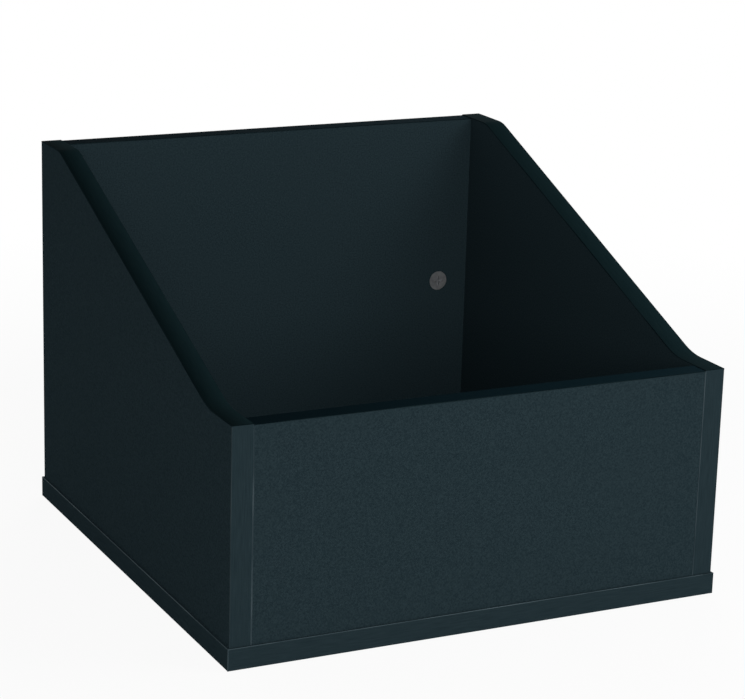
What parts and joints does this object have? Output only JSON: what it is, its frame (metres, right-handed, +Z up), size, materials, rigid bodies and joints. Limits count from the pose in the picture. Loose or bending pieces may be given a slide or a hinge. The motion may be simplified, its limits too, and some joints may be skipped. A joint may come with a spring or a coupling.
{
  "type": "record storage box",
  "caption": "Open-topped storage box of dark faced board on a thin base, its sides scooped down from a high back to a low front, for square sleeves stood on edge.",
  "frame": {"origin": "middle of the underside of the base, on the surface that the box stands on", "axes": "+Z up; +Y to the high back, so the low front faces -Y; +X to the right as seen from the front"},
  "size_m": [0.363, 0.363, 0.272],
  "materials": {
    "faced_board": "matte",
    "top_band": "matte",
    "end_band": "matte",
    "dowel_wood": "matte",
    "plated_steel": "satin",
    "die_cast_zinc": "satin"
  },
  "bodies": {
    "root": {"base_panel": "faced_board", "left_side_panel": "faced_board", "right_side_panel": "faced_board", "front_panel": "faced_board", "back_panel": "faced_board", "left_side_top_band": "top_band", "right_side_top_band": "top_band", "front_panel_top_band": "top_band", "back_panel_top_band": "top_band", "left_side_front_band": "end_band", "left_side_back_band": "end_band", "right_side_front_band": "end_band", "right_side_back_band": "end_band", "base_front_band": "end_band", "base_back_band": "end_band", "base_left_band": "end_band", "base_right_band": "end_band", "front_left_dowel": "dowel_wood", "front_right_dowel": "dowel_wood", "back_left_dowels": "dowel_wood", "back_right_dowels": "dowel_wood", "front_cam_bolts": "plated_steel", "front_cams": "die_cast_zinc", "back_cam_bolts": "plated_steel", "back_cams": "die_cast_zinc", "left_side_screws": "plated_steel", "right_side_screws": "plated_steel", "cross_panel_screws": "plated_steel"}
  },
  "joints": []
}
